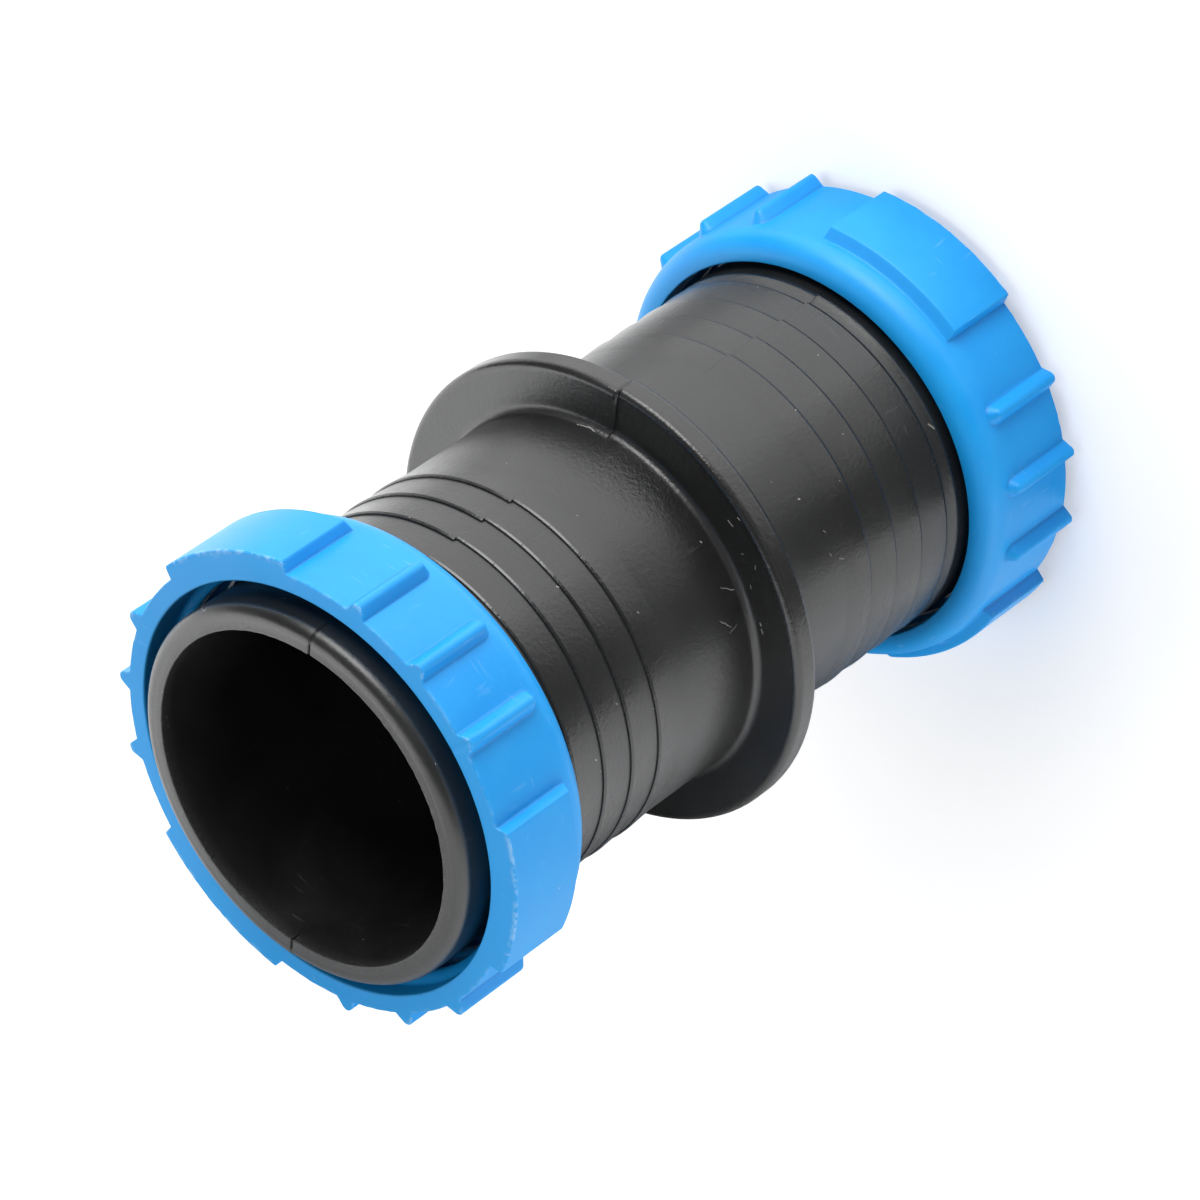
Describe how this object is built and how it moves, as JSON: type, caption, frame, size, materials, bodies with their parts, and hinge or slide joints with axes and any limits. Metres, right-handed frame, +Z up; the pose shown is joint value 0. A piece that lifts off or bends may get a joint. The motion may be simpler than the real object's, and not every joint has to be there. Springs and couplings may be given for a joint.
{
  "type": "drip tape coupling",
  "caption": "Straight coupling for thin-walled drip tape or hose: a tube with a stop flange between ringed spigots, each carrying a loose screw-on grip nut.",
  "frame": {"origin": "centre of the far mouth's end face, the plane that the coupling stands on", "axes": "+Z up along the bore towards the near mouth, +X in the mould's parting plane, +Y completes the frame"},
  "size_m": [0.0624, 0.0624, 0.1094],
  "materials": {
    "black_plastic": "satin black moulded plastic with a fine grain",
    "blue_plastic": "satin blue moulded plastic, paler where it is scuffed"
  },
  "bodies": {
    "coupling": {"coupling_body": "black_plastic"},
    "near_nut_ring": {"near_nut": "blue_plastic"},
    "far_nut_ring": {"far_nut": "blue_plastic"}
  },
  "joints": [
    {"name": "near_nut_turn", "type": "hinge", "parent": "coupling", "child": "near_nut_ring", "pos_m": [0, 0, 0.0989], "axis": [0, 0, 1], "continuous": true},
    {"name": "far_nut_turn", "type": "hinge", "parent": "coupling", "child": "far_nut_ring", "pos_m": [0, 0, 0.00865], "axis": [0, 0, -1], "continuous": true}
  ]
}
